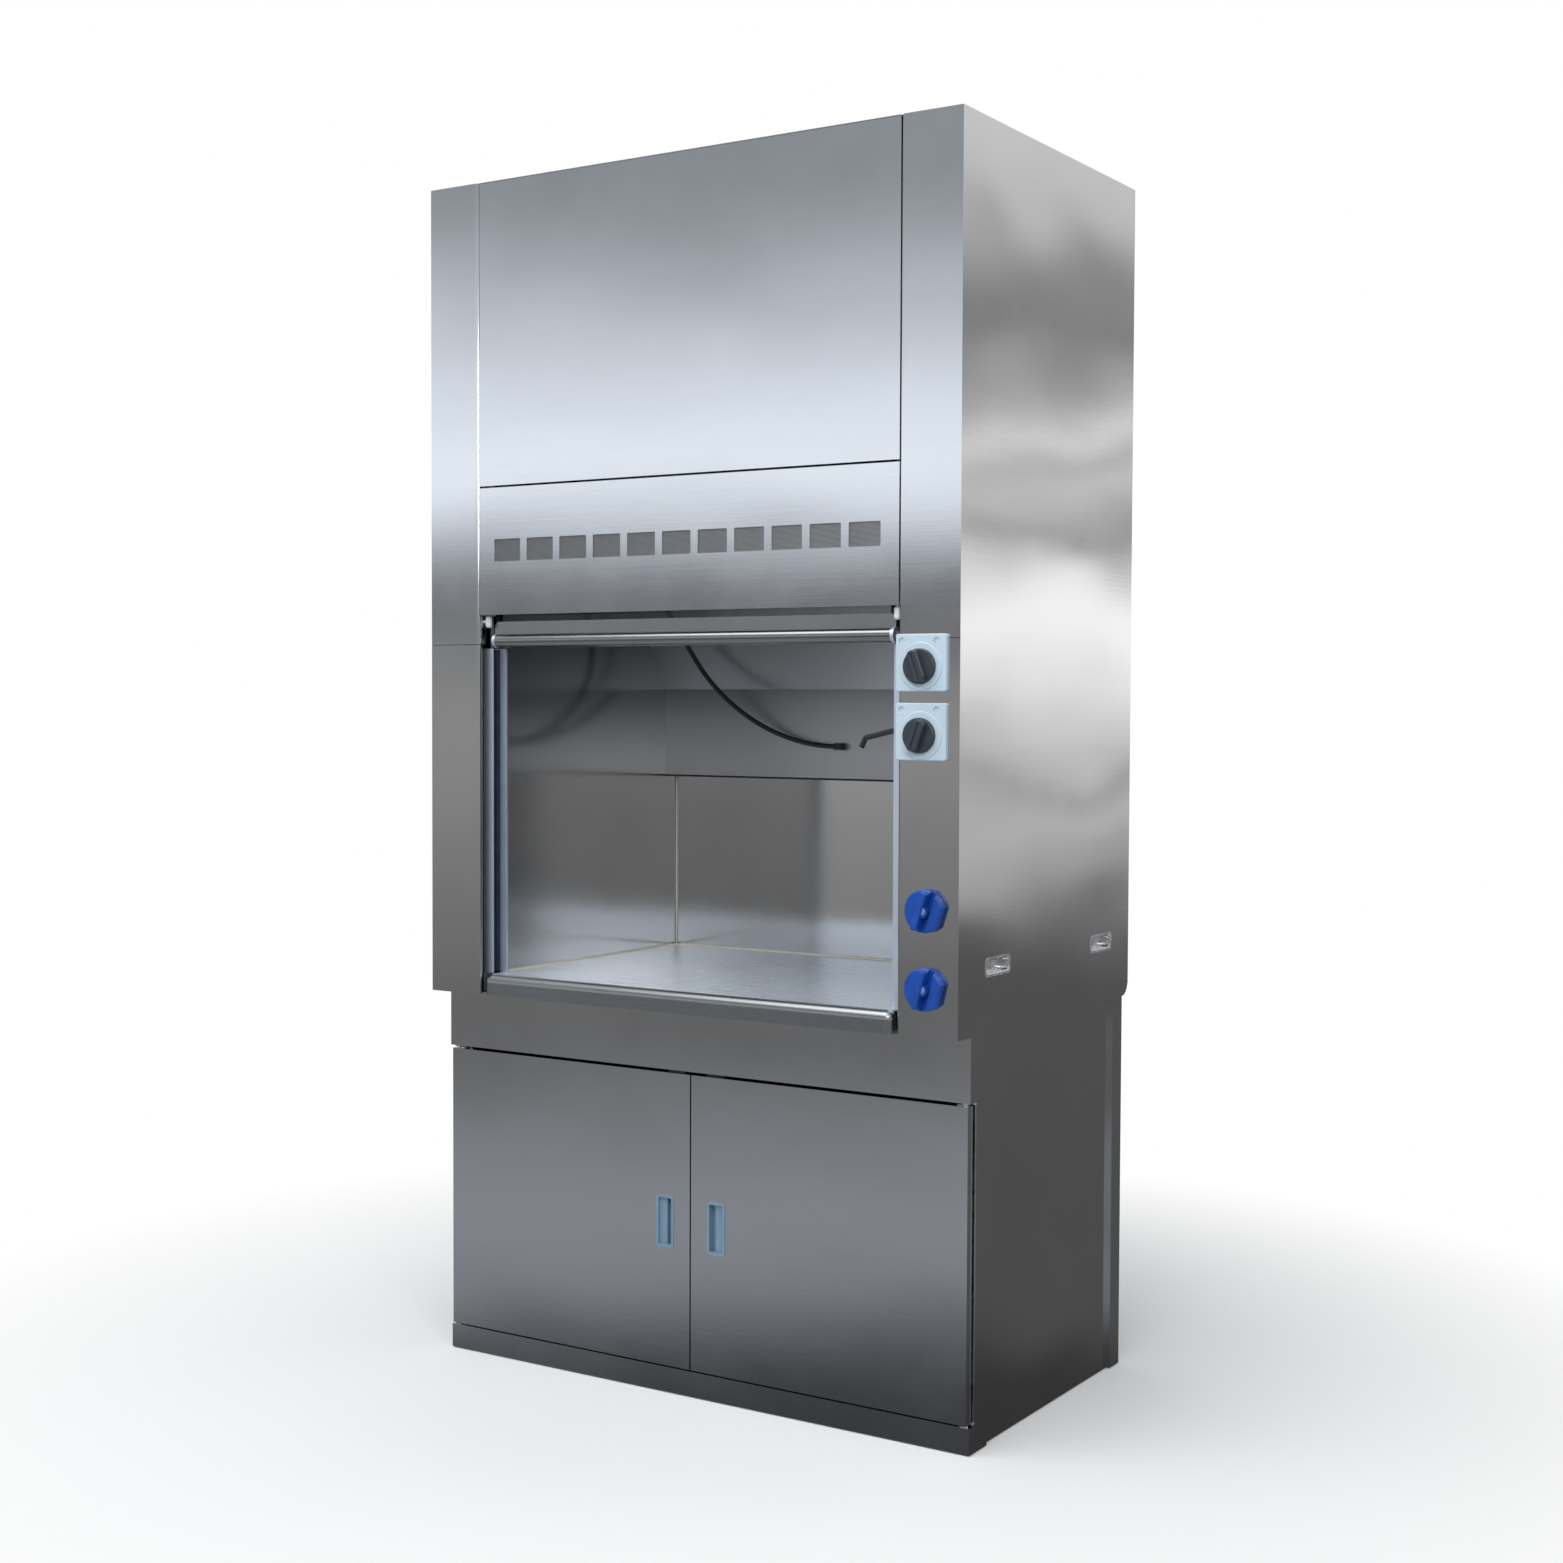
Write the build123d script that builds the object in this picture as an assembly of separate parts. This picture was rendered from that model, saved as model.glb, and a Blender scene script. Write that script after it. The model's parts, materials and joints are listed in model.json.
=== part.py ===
from build123d import *
import math
import os

# A walk-up stainless steel fume hood standing on a two-door base cabinet.
# +Z is up, the sash faces -Y, and the origin is on the floor under the middle of the bounding box.
# Lengths are millimetres. "Depth" below always means the distance back from the hood's front plane.

# ---- Driving dimensions ----
WIDTH = 1200.0
DEPTH = 730.0
BODY_HEIGHT = 2350.0
KNOB_REACH = 30.0
SHEET = 1.5
HOOD_BOTTOM = 745.0
WORKTOP_TOP = 787.0
POST_INNER = 477.0
FOLD_RADIUS = 9.0
POST_JOINT_Z = 1442.0
PANEL_SETBACK = 3.0
FASCIA_BOTTOM = 1501.0
FASCIA_TOP = 1753.0
BASE_WIDTH = 1196.0
DOOR_FACE = 54.0
DOOR_THICKNESS = 18.0

REAR_CORNER_RADIUS = 26.0
GRIP_Z = 862.0
GRIP_DEPTHS = (152.0, 597.0)

# ---- Worked out from them ----
FRONT_Y = KNOB_REACH - (DEPTH + KNOB_REACH) / 2
HALF = WIDTH / 2
BASE_HALF = BASE_WIDTH / 2
SIDE_INNER = HALF - SHEET
BACK_FACE = DEPTH - SHEET
ROOF_UNDERSIDE = BODY_HEIGHT - SHEET

# ---- Chamber ----
WORKTOP_HALF = 467.5
NOSE_RADIUS = 18.0
LINER_X = 457.0
LINER_FRONT = 50.5
CEILING_Z = 1750.0
BULKHEAD_DEPTH = 50.5
SPIGOT_RADIUS = 125.0
DUCT_RADIUS = 123.5
DUCT_DEPTH = 560.0
DUCT_TOP = 2405.0
LAMP_HALF = 310.0
LAMP_FRONT = 150.0
LAMP_REAR = 290.0
LOWER_BAFFLE_DEPTH = 652.0
UPPER_BAFFLE_DEPTH = 608.0
BAFFLE_SLOT_Z = 1168.0
BAFFLE_BEND_Z = 1358.0
BAFFLE_TOP_Z = 1690.0
BAFFLE_TOP_DEPTH = 425.0

# ---- Sash, its tracks and its counterbalance ----
SASH_DEPTH = 34.8
GLASS_THICKNESS = 5.0
PULL_RADIUS = 13.5
PULL_HALF = 451.0
RAIL_TOP = 1488.0
PULL_Z = 1450.0
PULL_DEPTH = 30.0
SASH_TOP = 2200.0
SASH_HALF = 458.0
TRACK_WEB_X = 484.5
TRACK_FRONT = 24.0
TRACK_REAR = 50.0
TRACK_RIB = 45.5
TRACK_FRONT_LIP_X = 460.0
TRACK_REAR_LIP_X = 444.0
TRACK_BOTTOM = 750.0
TRACK_TOP = 2240.0
GUIDE_CLEARANCE = 0.05
BELT_X = 500.0
BELT_WIDTH = 10.0
BELT_THICKNESS = 2.5
PULLEY_RADIUS = 26.7
PULLEY_GAP = 0.3
PULLEY_DEPTH = 64.0
SHAFT_RADIUS = 6.0
SHAFT_Z = 2262.0
IDLER_Z = 1500.0
BORE_CLEARANCE = 0.05

# ---- Controls on the right post ----
SWITCH_X = 527.0
VALVE_X = 538.0
SWITCH_KNOB_Z = (1393.5, 1273.5)
SWITCH_TILT = (-20.0, 20.0)
VALVE_TILT = (18.0, 14.0)
VALVE_Z = (968.0, 831.0)
SWITCH_KNOB_RADIUS = 31.0
DIAL_RADIUS = 42.0
DIAL_FACE = -10.0
VALVE_KNOB_RADIUS = 38.0

# ---- Base cabinet ----
DOOR_BOTTOM = 54.0
DOOR_TOP = 621.0
DOOR_SPLIT = 1.5
DOOR_EDGE = 593.0
PIVOT_X = 584.0
PIVOT_RADIUS = 4.0
APRON_BOTTOM = 627.0
CABINET_FLOOR = 50.0
FOOT_GAP = 2.0
PULL_X = 59.0
PULL_CUP_Z = 334.0


def block(x0, x1, near, far, z0, z1):
    """A box between two X values, two depths behind the hood's front plane and two heights."""
    middle = ((x0 + x1) / 2, FRONT_Y + (near + far) / 2, (z0 + z1) / 2)
    return Pos(*middle) * Box(x1 - x0, far - near, z1 - z0)


def rod_x(radius, x0, x1, depth, z):
    """A round bar along X."""
    return Pos((x0 + x1) / 2, FRONT_Y + depth, z) * Rot(0, 90, 0) * Cylinder(radius, x1 - x0)


def rod_y(radius, x, near, far, z):
    """A round bar along Y."""
    return Pos(x, FRONT_Y + (near + far) / 2, z) * Rot(90, 0, 0) * Cylinder(radius, far - near)


def rod_z(radius, x, depth, z0, z1):
    """A round bar along Z."""
    return Pos(x, FRONT_Y + depth, (z0 + z1) / 2) * Cylinder(radius, z1 - z0)


def mirrored(shape):
    """The same piece for the other side of the hood."""
    return mirror(shape, about=Plane.YZ)


def offset_points(points, distance):
    """Each corner of an open outline moved sideways to its left, with mitred corners."""
    normals = []
    for (u0, v0), (u1, v1) in zip(points, points[1:]):
        length = math.dist((u0, v0), (u1, v1))
        normals.append(((v0 - v1) / length, (u1 - u0) / length))
    moved = []
    for i, (u, v) in enumerate(points):
        nu0, nv0 = normals[max(i - 1, 0)]
        nu1, nv1 = normals[min(i, len(normals) - 1)]
        mitre = distance / (1 + nu0 * nu1 + nv0 * nv1)
        moved.append((u + (nu0 + nu1) * mitre, v + (nv0 + nv1) * mitre))
    return moved


def folded_plan(points, z0, z1, thickness=SHEET):
    """A sheet folded along vertical lines: an outline in plan, as (x, depth), made solid."""
    outline = points + offset_points(points, thickness)[::-1]
    corners = [(x, FRONT_Y + depth) for x, depth in outline]
    return Pos(0, 0, z0) * extrude(make_face(Polyline(*corners, close=True)), z1 - z0)


def folded_section(points, half_width, thickness=SHEET):
    """A sheet folded along lines across the hood: an outline as (depth, z), made solid."""
    outline = points + offset_points(points, thickness)[::-1]
    corners = [(FRONT_Y + depth, z) for depth, z in outline]
    face = Plane.YZ * make_face(Polyline(*corners, close=True))
    return Pos(-half_width, 0, 0) * extrude(face, 2 * half_width)


def bent_tube(points, radius, radii):
    """A round tube along (x, depth, z) points, with one bend radius for each corner."""
    path = FilletPolyline(*[(x, FRONT_Y + depth, z) for x, depth, z in points], radius=radii)
    section = Plane(origin=path @ 0, z_dir=path % 0) * Circle(radius)
    return sweep(section, path=path)


def save(name, shape):
    """Write one node."""
    export_step(shape, f"parts/{name}.step")


def save_group(name, solids):
    """Write one node of identical pieces."""
    export_step(Compound(children=solids), f"parts/{name}.step")


# ---- Outer shell of the hood ----
def side_panel():
    """The outer side sheet, with a foot flange folded inwards and a rounded rear foot corner."""
    wall = block(SIDE_INNER, HALF, SHEET, BACK_FACE, HOOD_BOTTOM, BODY_HEIGHT)
    rear_foot = wall.edges().filter_by(Axis.X).sort_by(Axis.Z)[:2].sort_by(Axis.Y)[-1]
    wall = fillet(rear_foot, REAR_CORNER_RADIUS)
    return wall + block(570, SIDE_INNER, 62, BACK_FACE - REAR_CORNER_RADIUS, HOOD_BOTTOM, HOOD_BOTTOM + SHEET)


def grip_solid(depth, width, height, inner_x, outer_x, corner):
    """A rounded rectangular plug through the side panel at a recessed grip."""
    plug = block(inner_x, outer_x, depth - width / 2, depth + width / 2,
                 GRIP_Z - height / 2, GRIP_Z + height / 2)
    return fillet(plug.edges().filter_by(Axis.X), corner)


def grip_cup(depth):
    """A pressed cup with a bevelled rim, flush with the side panel."""
    floor_x = HALF - 16
    cup = grip_solid(depth, 101.6, 35.6, HALF - 3, HALF, 10.0)
    cup += grip_solid(depth, 90, 25, floor_x, HALF - 3, 6.0)
    cup -= grip_solid(depth, 87, 22, floor_x + SHEET, HALF + 5, 5.0)
    bevel = cup.faces().sort_by(Axis.X)[-1].inner_wires()[0].edges()
    return chamfer(bevel, 2.5)


def side_panels():
    """Both side sheets, with two grip cups set into the right-hand one."""
    panel = side_panel()
    save("left_side_panel", mirrored(panel))
    cups = []
    for depth in GRIP_DEPTHS:
        panel -= grip_solid(depth, 102, 36, HALF - 10, HALF + 5, 10.2)
        cups.append(grip_cup(depth))
    save("right_side_panel", panel)
    save_group("side_grip_cups", cups)


def upright_edge(shape, x, depth):
    """The vertical edge of a shape nearest to a place in plan."""
    here = Vector(x, FRONT_Y + depth)
    return min(shape.edges().filter_by(Axis.Z),
               key=lambda edge: (Vector(edge.center().X, edge.center().Y) - here).length)


def post_cover(z0, z1, return_top, return_depth):
    """A flat front cover whose inner edge is folded back with a large radius."""
    cover = block(POST_INNER, HALF, 0, SHEET, z0, z1)
    cover += block(POST_INNER, POST_INNER + SHEET, 0, FOLD_RADIUS + 1, z0, z1)
    cover = fillet(upright_edge(cover, POST_INNER + SHEET, SHEET), FOLD_RADIUS - SHEET)
    cover = fillet(upright_edge(cover, POST_INNER, 0), FOLD_RADIUS)
    return cover + block(POST_INNER, POST_INNER + SHEET, FOLD_RADIUS + 0.5, return_depth, z0, return_top)


def post_upper_cover():
    """The upper front cover of a post."""
    return post_cover(POST_JOINT_Z + 1, BODY_HEIGHT, ROOF_UNDERSIDE, 22)


def post_lower_cover():
    """The lower front cover of a post, closed underneath where the hood overhangs the base."""
    cover = post_cover(HOOD_BOTTOM, POST_JOINT_Z, POST_JOINT_Z, FOLD_RADIUS + 1)
    return cover + block(POST_INNER + FOLD_RADIUS, SIDE_INNER - 0.2, 0, 60, HOOD_BOTTOM, HOOD_BOTTOM + SHEET)


def post_covers():
    save("left_post_upper_cover", mirrored(post_upper_cover()))
    save("right_post_upper_cover", post_upper_cover())
    save("left_post_lower_cover", mirrored(post_lower_cover()))
    drilled = post_lower_cover()
    for z in VALVE_Z:
        drilled -= rod_y(9, VALVE_X, -1, 3, z)
    save("right_post_lower_cover", drilled)


def roof_and_back():
    back = block(-HALF, HALF, BACK_FACE, DEPTH, HOOD_BOTTOM, BODY_HEIGHT)
    save("hood_back_panel", fillet(back.edges().filter_by(Axis.Y).sort_by(Axis.Z)[:2], REAR_CORNER_RADIUS))
    roof = block(-SIDE_INNER, SIDE_INNER, SHEET, BACK_FACE, ROOF_UNDERSIDE, BODY_HEIGHT)
    notch = block(POST_INNER - 0.3, POST_INNER + FOLD_RADIUS + 1, 0, FOLD_RADIUS + 1.5, 2300, 2400)
    roof -= notch + mirrored(notch)
    save("roof_panel", roof - rod_z(DUCT_RADIUS + 0.5, 0, DUCT_DEPTH, 2300, 2400))


def exhaust_duct():
    """The spun duct from the chamber ceiling up through the roof, where it widens into the spigot."""
    outer = rod_z(DUCT_RADIUS, 0, DUCT_DEPTH, CEILING_Z + SHEET, BODY_HEIGHT)
    outer += rod_z(SPIGOT_RADIUS, 0, DUCT_DEPTH, BODY_HEIGHT, DUCT_TOP)
    outer += rod_z(DUCT_RADIUS + 30, 0, DUCT_DEPTH, CEILING_Z + SHEET, CEILING_Z + SHEET + 2)
    outer += rod_z(SPIGOT_RADIUS + 35, 0, DUCT_DEPTH, BODY_HEIGHT, BODY_HEIGHT + 2)
    save("exhaust_duct", outer - rod_z(DUCT_RADIUS - 2, 0, DUCT_DEPTH, CEILING_Z, DUCT_TOP + 1))


def front_panels():
    """The two sheets above the opening, set just back, and the perforated strip behind the vents."""
    edge = POST_INNER - 0.5
    near = PANEL_SETBACK
    upper = block(-edge, edge, near, near + SHEET, FASCIA_TOP + 2, ROOF_UNDERSIDE)
    upper += block(-edge, edge, near, near + 28, ROOF_UNDERSIDE - SHEET, ROOF_UNDERSIDE)
    save("upper_front_panel", upper)
    fascia = block(-edge, edge, near, near + SHEET, FASCIA_BOTTOM, FASCIA_TOP - 2)
    window_count = 11
    pitch = 81.3
    for i in range(window_count):
        middle = (i - (window_count - 1) / 2) * pitch
        window = block(middle - 32.5, middle + 32.5, near - 1, near + 3, 1605.5, 1649.5)
        fascia -= fillet(window.edges().filter_by(Axis.Y), 2.0)
    save("fascia_panel", fascia)
    save("vent_mesh", block(-446, 446, near + SHEET, near + SHEET + 0.8, 1599, 1656))


# ---- Chamber ----
def worktop():
    """A pressed steel worktop, open underneath, with a rounded front edge and front corners."""
    slab = block(-WORKTOP_HALF, WORKTOP_HALF, 0, 715, HOOD_BOTTOM, WORKTOP_TOP)
    for side in (-1, 1):
        slab = fillet(upright_edge(slab, side * WORKTOP_HALF, 0), NOSE_RADIUS)
    upper_edges = slab.edges().group_by(Axis.Z)[-1].sort_by(Axis.Y)
    slab = fillet(upper_edges[:3], NOSE_RADIUS - 1)
    underside = slab.faces().sort_by(Axis.Z)[0]
    save("worktop", offset(slab, amount=-SHEET, openings=underside))


def liners():
    """The chamber's side walls, with a front return that closes against the track."""
    wall = folded_plan([(TRACK_WEB_X, LINER_FRONT), (LINER_X, LINER_FRONT), (LINER_X, BACK_FACE)],
                       WORKTOP_TOP, CEILING_Z, -SHEET)
    save("left_liner", mirrored(wall))
    for _, depth, z in (upper_outlet_wall(), lower_outlet_wall()):
        wall -= rod_x(6.5, LINER_X - 5, LINER_X + 5, depth, z)
    save("right_liner", wall)


def chamber_ceiling():
    """The ceiling sheet, folded down at the front behind the fascia, with lamp and duct openings."""
    sheet = folded_section([(BULKHEAD_DEPTH, FASCIA_BOTTOM + 4), (BULKHEAD_DEPTH, CEILING_Z + SHEET),
                            (BACK_FACE, CEILING_Z + SHEET)], LINER_X - 0.3, -SHEET)
    sheet -= block(-LAMP_HALF, LAMP_HALF, LAMP_FRONT, LAMP_REAR, CEILING_Z - 5, CEILING_Z + 5)
    sheet -= rod_z(DUCT_RADIUS - 2, 0, DUCT_DEPTH, CEILING_Z - 5, CEILING_Z + 5)
    save("chamber_ceiling", sheet)


def baffles():
    """The lower baffle, and the upper one that stands forward of it and leans to the ceiling."""
    near = LOWER_BAFFLE_DEPTH
    save("lower_baffle", block(-LINER_X, LINER_X, near, near + SHEET, WORKTOP_TOP + 2, BAFFLE_SLOT_Z + 45))
    upper = folded_section([(UPPER_BAFFLE_DEPTH, BAFFLE_SLOT_Z), (UPPER_BAFFLE_DEPTH, BAFFLE_BEND_Z),
                            (BAFFLE_TOP_DEPTH, BAFFLE_TOP_Z)], LINER_X, -SHEET)
    save("upper_baffle", upper)


def lamp():
    """A vapour-tight lamp: a steel housing above the ceiling, and a glass lens in the opening."""
    top = CEILING_Z + SHEET
    housing = block(-LAMP_HALF - 12, LAMP_HALF + 12, LAMP_FRONT - 12, LAMP_REAR + 12, top, top + 62)
    housing -= block(-LAMP_HALF, LAMP_HALF, LAMP_FRONT, LAMP_REAR, top - 1, top + 60.5)
    save("lamp_housing", housing)
    gap = 0.5
    save("lamp_lens", block(-LAMP_HALF + gap, LAMP_HALF - gap, LAMP_FRONT + gap, LAMP_REAR - gap,
                            CEILING_Z - 1, CEILING_Z + 5))


# ---- Lamp cable, from the chamber ceiling to the upper baffle ----
CABLE_RADIUS = 5.0
CABLE_ROUTE = [
    (-362.0, 398.0, 1736.0),
    (-362.0, 398.0, 1650.0),
    (-354.0, 448.0, 1552.0),
    (-335.0, 505.0, 1462.0),
    (-296.0, 541.0, 1376.0),
    (-232.0, 562.0, 1312.0),
    (-152.0, 577.0, 1265.0),
    (-62.0, 595.0, 1238.0),
    (-8.0, 595.0, 1238.0),
]


def bend_radii(points):
    """The largest bend at each corner: 0.45 of the shorter run over the tangent of half the turn."""
    radii = []
    for before, here, after in zip(points, points[1:], points[2:]):
        arriving = Vector(*here) - Vector(*before)
        leaving = Vector(*after) - Vector(*here)
        half_turn = math.radians(arriving.get_angle(leaving)) / 2
        radii.append(0.45 * min(arriving.length, leaving.length) / math.tan(half_turn))
    return radii


def lamp_cable():
    radii = bend_radii(CABLE_ROUTE)
    print("cable bend radii", [round(radius, 1) for radius in radii])
    cable = bent_tube(CABLE_ROUTE, CABLE_RADIUS, radii)
    print("cable length", round(cable.volume / (math.pi * CABLE_RADIUS ** 2), 1))
    save("lamp_cable", cable)
    top_x, top_depth, top_z = CABLE_ROUTE[0]
    end_x, end_depth, end_z = CABLE_ROUTE[-1]
    gland = rod_z(9, top_x, top_depth, top_z, CEILING_Z)
    entry = block(end_x, end_x + 16, end_depth - 7, UPPER_BAFFLE_DEPTH, end_z - 7, end_z + 7)
    save_group("cable_glands", [gland, entry])


# ---- Sash ----
def sash():
    """The vertical sash, drawn fully raised."""
    near = SASH_DEPTH - GLASS_THICKNESS / 2
    far = SASH_DEPTH + GLASS_THICKNESS / 2
    pull_top = PULL_Z + PULL_RADIUS
    pane_half = SASH_HALF - 5
    slot = block(-pane_half - 0.2, pane_half + 0.2, near - 0.1, far + 0.1, pull_top + 6, SASH_TOP - 12)
    save("sash_glass", block(-pane_half, pane_half, near, far, pull_top + 6.2, SASH_TOP - 12.2))
    save("sash_frame", sash_frame() - slot)
    rail = block(-SASH_HALF, SASH_HALF, 27, 43, PULL_Z + 5, RAIL_TOP)
    rail = fillet(rail.edges().filter_by(Axis.Y).group_by(Axis.Z)[-1], 12.0)
    rail -= rod_x(PULL_RADIUS + 0.1, -500, 500, PULL_DEPTH, PULL_Z)
    rail -= block(-500, 500, 0, PULL_DEPTH, PULL_Z, pull_top - 2)
    for side in (-1, 1):
        ends = sorted((side * (PULL_HALF - 0.1), side * 500))
        rail -= rod_x(PULL_RADIUS + 1.1, *ends, PULL_DEPTH, PULL_Z)
    save("sash_bottom_rail", rail - slot)
    tube = rod_x(PULL_RADIUS, -PULL_HALF, PULL_HALF, PULL_DEPTH, PULL_Z)
    save("sash_pull_tube", tube - rod_x(PULL_RADIUS - SHEET, -500, 500, PULL_DEPTH, PULL_Z))
    save_group("sash_pull_caps", [pull_cap(), mirrored(pull_cap())])


def sash_frame():
    """The aluminium frame above the rail, with its belt clamps."""
    frame = block(-SASH_HALF, SASH_HALF, SASH_DEPTH - 6.5, SASH_DEPTH + 6.5, RAIL_TOP, SASH_TOP)
    frame -= block(-SASH_HALF + 11, SASH_HALF - 11, 0, 60, RAIL_TOP - 1, SASH_TOP - 18)
    return frame + belt_clamp() + mirrored(belt_clamp())


def pull_cap():
    """A turned cap closing the right-hand end of the pull tube, dished in the middle."""
    cap = rod_x(PULL_RADIUS + 1, PULL_HALF, PULL_HALF + 7, PULL_DEPTH, PULL_Z)
    return cap - rod_x(PULL_RADIUS - 6, PULL_HALF + 4, PULL_HALF + 8, PULL_DEPTH, PULL_Z)


def sash_guides():
    """Four nylon guides on the sash's edges, running between each track's front flange and rib."""
    near = TRACK_FRONT + SHEET + GUIDE_CLEARANCE
    far = TRACK_RIB - GUIDE_CLEARANCE
    guides = []
    for z in (1512.0, 2170.0):
        guide = block(SASH_HALF, TRACK_WEB_X - 0.3, near, far, z - 12, z + 12)
        guides += [guide, mirrored(guide)]
    save_group("sash_guides", guides)


def sash_bumpers():
    """Round-ended nylon studs on the post returns, just under the fascia."""
    bumper = rod_z(6.5, POST_INNER - 11, 18, FASCIA_BOTTOM - 25, FASCIA_BOTTOM - 1)
    bumper = fillet(bumper.edges(), 5.0)
    bumper += rod_x(3, POST_INNER - 11, POST_INNER, 18, FASCIA_BOTTOM - 13)
    save_group("sash_bumpers", [bumper, mirrored(bumper)])


def belt_clamp():
    """An arm from the sash's top corner, through the slot in the track, to a jaw on the belt."""
    front_run = PULLEY_DEPTH - PULLEY_RADIUS - PULLEY_GAP - BELT_THICKNESS
    middle = front_run + BELT_THICKNESS / 2
    arm = block(SASH_HALF - 5, BELT_X - 6, middle - 3, middle + 3, 2185, 2199)
    jaw = block(BELT_X - 7, BELT_X + 8, middle - 7, middle + 7, 2183, 2201)
    return arm + jaw - belt_passage(front_run)


def belt_passage(near):
    """The slot a belt run needs through whatever grips it."""
    gap = 0.4
    return block(BELT_X - BELT_WIDTH / 2 - gap, BELT_X + BELT_WIDTH / 2 + gap,
                 near - gap, near + BELT_THICKNESS + gap, 1500, 2240)


def tracks():
    """Aluminium sash channels with a rib on the rear flange, slotted for the belt clamps.

    Beside the raised bottom rail only a strip of the web joins the lower and the upper length.
    """
    outer_x = TRACK_WEB_X + SHEET
    track = block(TRACK_WEB_X, outer_x, TRACK_FRONT, TRACK_REAR, TRACK_BOTTOM, TRACK_TOP)
    for bottom, top in ((WORKTOP_TOP, PULL_Z - 15), (FASCIA_BOTTOM + 4, TRACK_TOP)):
        track += block(TRACK_FRONT_LIP_X, outer_x, TRACK_FRONT, TRACK_FRONT + SHEET, bottom, top)
        rib = block(TRACK_REAR_LIP_X, TRACK_REAR_LIP_X + 16, TRACK_RIB, TRACK_REAR, bottom, top)
        track += fillet(rib.edges().filter_by(Axis.Y).group_by(Axis.Z)[-1], 6.0)
        track += block(TRACK_REAR_LIP_X + 2, outer_x, TRACK_REAR - SHEET, TRACK_REAR, bottom, top)
    track -= block(TRACK_WEB_X - 1, outer_x + 1, 20, 46, PULL_Z - 15, FASCIA_BOTTOM + 4)
    track -= block(TRACK_WEB_X - 1, outer_x + 1, 30, 43, 1515, 2225)
    save("right_track", track)
    save("left_track", mirrored(track))


# ---- Counterbalance: a closed toothed belt and a weight on each side, joined by one shaft ----
def belts():
    """The two closed belts, running from the shaft's pulleys to the idlers."""
    inner = PULLEY_RADIUS + PULLEY_GAP
    outer = inner + BELT_THICKNESS
    loops = []
    for side in (-1, 1):
        x0 = side * BELT_X - BELT_WIDTH / 2
        x1 = side * BELT_X + BELT_WIDTH / 2
        loops.append(stadium(outer, x0, x1) - stadium(inner, x0 - 1, x1 + 1))
    save_group("sash_belts", loops)


def stadium(radius, x0, x1):
    """The solid inside a belt line of this radius about both pulley axes."""
    body = block(x0, x1, PULLEY_DEPTH - radius, PULLEY_DEPTH + radius, IDLER_Z, SHAFT_Z)
    for z in (IDLER_Z, SHAFT_Z):
        body += rod_x(radius, x0, x1, PULLEY_DEPTH, z)
    return body


def counterbalance():
    pulley_width = BELT_WIDTH + 2
    ends = BELT_X + 23
    shaft = rod_x(SHAFT_RADIUS, -ends, ends, PULLEY_DEPTH, SHAFT_Z)
    for side in (-1, 1):
        middle = side * BELT_X
        shaft += rod_x(PULLEY_RADIUS, middle - pulley_width / 2, middle + pulley_width / 2,
                       PULLEY_DEPTH, SHAFT_Z)
    save("sync_shaft", shaft)
    idler = rod_x(PULLEY_RADIUS, BELT_X - pulley_width / 2, BELT_X + pulley_width / 2,
                  PULLEY_DEPTH, IDLER_Z)
    idler += rod_x(SHAFT_RADIUS, BELT_X, ends, PULLEY_DEPTH, IDLER_Z)
    save("right_idler", idler)
    save("left_idler", mirrored(idler))
    brackets = []
    for z in (IDLER_Z, SHAFT_Z):
        bracket = block(BELT_X + 9, SIDE_INNER, PULLEY_DEPTH - 12, PULLEY_DEPTH + 12, z - 12, z + 12)
        bracket -= rod_x(SHAFT_RADIUS + BORE_CLEARANCE, BELT_X, ends + 3, PULLEY_DEPTH, z)
        brackets += [bracket, mirrored(bracket)]
    save_group("bearing_brackets", brackets)
    weight = counterweight()
    save("right_counterweight", weight)
    save("left_counterweight", mirrored(weight))


def counterweight():
    """A steel bar beside the liner, with a lug that grips the rear run of the belt."""
    rear_run = PULLEY_DEPTH + PULLEY_RADIUS + PULLEY_GAP
    bar = block(BELT_X + 11, BELT_X + 71, rear_run + 10, rear_run + 60, 1400, 1655)
    lug = block(BELT_X - 8, BELT_X + 12, rear_run - 5, rear_run + 14, 1540, 1570)
    return bar + lug - belt_passage(rear_run)


# ---- Controls ----
def switch_boxes():
    """The two square rotary-switch boxes on the right post, each with a raised dial and two dimples."""
    boxes = []
    for z in SWITCH_KNOB_Z:
        middle_z = z + 6.5
        box = block(SWITCH_X - 50, SWITCH_X + 50, -8, 0, middle_z - 50, middle_z + 50)
        box = fillet(box.edges().filter_by(Axis.Y), 4.0)
        box = fillet(box.faces().sort_by(Axis.Y)[0].edges(), 2.0)
        for x in (SWITCH_X - 38, SWITCH_X + 31):
            box -= rod_y(6, x, -9, -5.5, middle_z + 38)
        dial = rod_y(DIAL_RADIUS, SWITCH_X, DIAL_FACE, -7, z)
        box += fillet(dial.edges().sort_by(Axis.Y)[0], 1.5)
        boxes.append(box - rod_y(PIVOT_RADIUS + BORE_CLEARANCE, SWITCH_X, -11, -2, z))
    save_group("switch_boxes", boxes)
    for name, z, tilt in zip(("upper", "lower"), SWITCH_KNOB_Z, SWITCH_TILT):
        save(f"{name}_switch_knob", switch_knob(z, tilt))


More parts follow.
